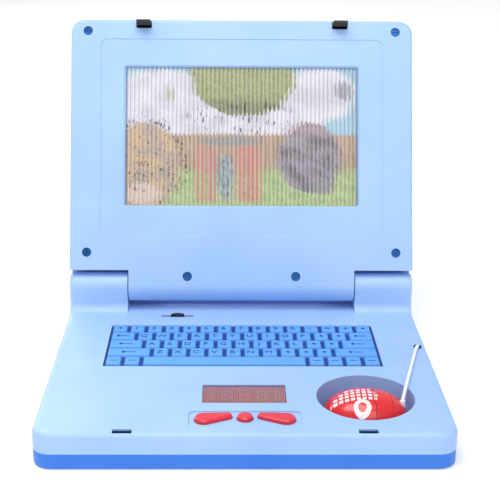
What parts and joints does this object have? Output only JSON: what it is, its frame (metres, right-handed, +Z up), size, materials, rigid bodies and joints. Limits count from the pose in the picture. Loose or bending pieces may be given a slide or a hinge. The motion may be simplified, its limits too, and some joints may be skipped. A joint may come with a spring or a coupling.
{
  "type": "toy laptop computer",
  "caption": "Toy laptop with a hinged lid and lit picture screen, keyboard panel, three buttons, digit window, slide switch, and a corded toy mouse in a round well.",
  "frame": {"origin": "middle of the base's footprint, on its underside", "axes": "+Z up, -Y towards the user, +X to the user's right; the lid stands open at its rest pose, leaning 21.3 degrees back from upright"},
  "size_m": [0.26, 0.2869, 0.2349],
  "materials": {
    "light_blue_shell": "satin moulded ABS",
    "blue_shell": "satin moulded ABS",
    "gloss_blue_cover": "high gloss moulded ABS",
    "key_blue": "moulded, lightly textured tops",
    "button_red": "moulded red",
    "mouse_red": "glossy moulded red",
    "mouse_plate": "moulded",
    "latch_black": "moulded black",
    "cord_white": "soft PVC sheath",
    "rubber_dark": "matt rubber",
    "sleeve_white": "soft PVC",
    "window_red": "dark red tinted acrylic",
    "lens_clear": "finely ribbed clear sheet",
    "picture_print": "printed card",
    "diffuser_white": "opal white",
    "circuit_board": "solder resist",
    "component_black": "moulded and potted",
    "lamp_clear": "clear resin",
    "silicone": "silicone",
    "speaker_paper": "pressed paper",
    "steel": "zinc plated",
    "pin_plastic": "acetal",
    "cell_wrap": "printed sleeve, plain",
    "wire_red": "PVC insulated wire"
  },
  "bodies": {
    "base": {"base_lower_shell": "blue_shell", "base_screws": "steel", "base_upper_shell": "light_blue_shell", "battery_cells": "cell_wrap", "battery_door": "blue_shell", "battery_door_screw": "steel", "battery_leads": "wire_red", "battery_plates": "steel", "battery_springs": "steel", "board_components": "component_black", "board_screws": "steel", "button_pad": "silicone", "cord_grommet": "rubber_dark", "display_module": "component_black", "display_segments": "lamp_clear", "display_window": "window_red", "hinge_pin_left": "pin_plastic", "hinge_pin_right": "pin_plastic", "keyboard_board": "circuit_board", "keyboard_dome_mat": "silicone", "lid_lead_base": "wire_red", "main_board": "circuit_board", "rest_pads": "rubber_dark", "sound_chip": "component_black", "speaker_basket": "steel", "speaker_cone": "speaker_paper", "speaker_leads": "wire_red", "speaker_magnet": "component_black", "switch_housing": "steel"},
    "lid": {"lid_bezel": "light_blue_shell", "lid_back_cover": "gloss_blue_cover", "lid_screws": "steel", "screen_lens": "lens_clear", "picture_card": "picture_print", "light_diffuser": "diffuser_white", "screen_tray": "diffuser_white", "lamp_board": "circuit_board", "lamps": "lamp_clear", "lid_lead": "wire_red", "hinge_bushes": "pin_plastic", "latch_spring_left": "steel", "latch_spring_right": "steel"},
    "latch_left": {"latch_left": "latch_black"},
    "latch_right": {"latch_right": "latch_black"},
    "keyboard": {"keyboard_panel": "key_blue"},
    "button_left": {"button_left": "button_red"},
    "button_middle": {"button_middle": "button_red"},
    "button_right": {"button_right": "button_red"},
    "power_switch": {"switch_knob": "latch_black"},
    "mouse": {"mouse_base": "mouse_plate", "mouse_top": "mouse_red", "mouse_board": "circuit_board", "mouse_switch": "component_black", "mouse_screw": "steel", "cord_sleeve": "sleeve_white", "mouse_cord": "cord_white"},
    "mouse_key": {"mouse_key": "mouse_red"}
  },
  "joints": [
    {"name": "lid_hinge", "type": "hinge", "parent": "base", "child": "lid", "pos_m": [0, 0.0963, 0.041], "axis": [-1, 0, 0], "range_deg": [-111.27, 18.7]},
    {"name": "latch_left_press", "type": "hinge", "parent": "lid", "child": "latch_left", "pos_m": [-0.0746, 0.16074, 0.22906], "axis": [-1, 0, 0], "range_deg": [0, 6], "stiffness_Nm_per_rad": 0.4, "deforming": ["latch_spring_left"]},
    {"name": "latch_right_press", "type": "hinge", "parent": "lid", "child": "latch_right", "pos_m": [0.0746, 0.16074, 0.22906], "axis": [-1, 0, 0], "range_deg": [0, 6], "stiffness_Nm_per_rad": 0.4, "deforming": ["latch_spring_right"]},
    {"name": "keyboard_press", "type": "slide", "parent": "base", "child": "keyboard", "axis": [0, 0, -1], "range_m": [0, 0.0015], "stiffness_N_per_m": 1500, "deforming": ["keyboard_dome_mat"]},
    {"name": "button_left_press", "type": "slide", "parent": "base", "child": "button_left", "axis": [0, 0, -1], "range_m": [0, 0.0012], "stiffness_N_per_m": 900, "deforming": ["button_pad"]},
    {"name": "button_middle_press", "type": "slide", "parent": "base", "child": "button_middle", "axis": [0, 0, -1], "range_m": [0, 0.0012], "stiffness_N_per_m": 900, "deforming": ["button_pad"]},
    {"name": "button_right_press", "type": "slide", "parent": "base", "child": "button_right", "axis": [0, 0, -1], "range_m": [0, 0.0012], "stiffness_N_per_m": 900, "deforming": ["button_pad"]},
    {"name": "power_switch_slide", "type": "slide", "parent": "base", "child": "power_switch", "axis": [1, 0, 0], "range_m": [-0.006, 0.006]},
    {"name": "mouse_lift", "type": "slide", "parent": "base", "child": "mouse", "axis": [0, 0, 1], "range_m": [0, 0.06], "deforming": ["mouse_cord"]},
    {"name": "mouse_key_press", "type": "slide", "parent": "mouse", "child": "mouse_key", "axis": [0, 0, -1], "range_m": [0, 0.0006], "stiffness_N_per_m": 1200}
  ]
}
